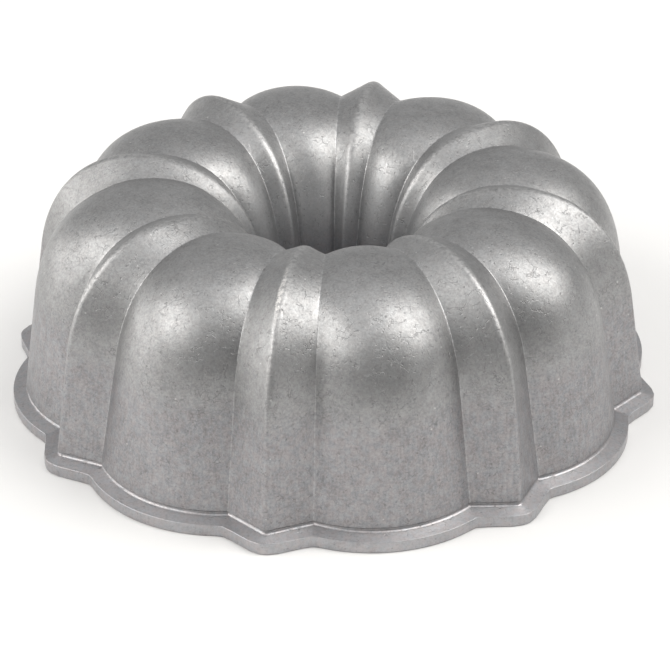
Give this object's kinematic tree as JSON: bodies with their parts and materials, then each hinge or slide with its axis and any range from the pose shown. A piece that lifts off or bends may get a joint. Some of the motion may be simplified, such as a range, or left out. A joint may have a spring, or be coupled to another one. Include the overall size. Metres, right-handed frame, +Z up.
{
  "type": "bundt pan",
  "caption": "Fluted ring cake pan in cast metal, standing on its scalloped rim with the crown up; open centre tube and a ring-shaped batter space.",
  "frame": {"origin": "centre of the rim's underside plane, on the pan's axis", "axes": "+Z up along the pan's axis of symmetry, from the rim to the crown; a ridge points along -Y, so others point along +X, -X and +Y"},
  "size_m": [0.2616, 0.2616, 0.0917],
  "materials": {
    "cast_metal": "uncoated as-cast and tumbled natural aluminium, satin, mottled grey with fine pits and burnished edges",
    "release_coating": "thin dark grey release coating, low satin sheen"
  },
  "bodies": {
    "root": {"pan_casting": "cast_metal", "nonstick_coating": "release_coating"}
  },
  "joints": []
}
